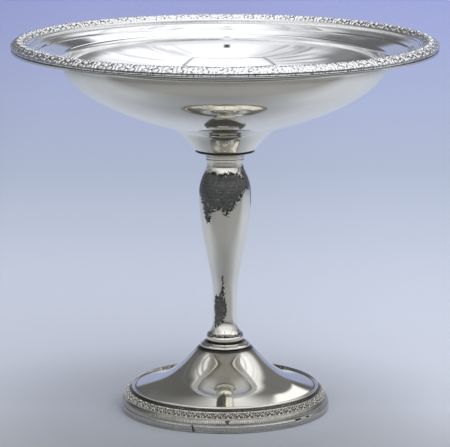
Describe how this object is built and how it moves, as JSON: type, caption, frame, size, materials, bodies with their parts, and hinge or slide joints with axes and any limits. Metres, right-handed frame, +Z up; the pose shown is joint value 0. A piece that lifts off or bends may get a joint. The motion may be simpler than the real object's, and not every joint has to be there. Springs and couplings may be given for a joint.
{
  "type": "footed compote bowl",
  "caption": "Shallow polished metal compote bowl with a carved rim border, on a tarnished baluster stem and a weighted domed foot.",
  "frame": {"origin": "middle of the ring that the foot stands on, at table level", "axes": "+Z up along the stem's axis; round about it, and -Y is the side that the picture shows"},
  "size_m": [0.159, 0.159, 0.1411],
  "materials": {
    "silver": "polished, fine wear",
    "border_silver": "polished relief with dark recesses",
    "tarnished_silver": "polished with dark mottled tarnish patches",
    "brass": "turned",
    "steel": "plain",
    "pitch": "cast pitch",
    "cement": "cast plaster cement",
    "felt": "felt"
  },
  "bodies": {
    "root": {"bowl": "silver", "rim_border": "border_silver", "bowl_socket": "silver", "socket_nut": "brass", "stem_cap": "silver", "stem_shell": "tarnished_silver", "stem_filler": "pitch", "tie_rod": "steel", "stem_bead": "silver", "foot_collar": "silver", "foot_shell": "silver", "foot_border": "border_silver", "foot_ring": "silver", "foot_filler": "cement", "base_plate": "steel", "rod_washer": "steel", "rod_nut": "steel", "base_felt": "felt"}
  },
  "joints": []
}
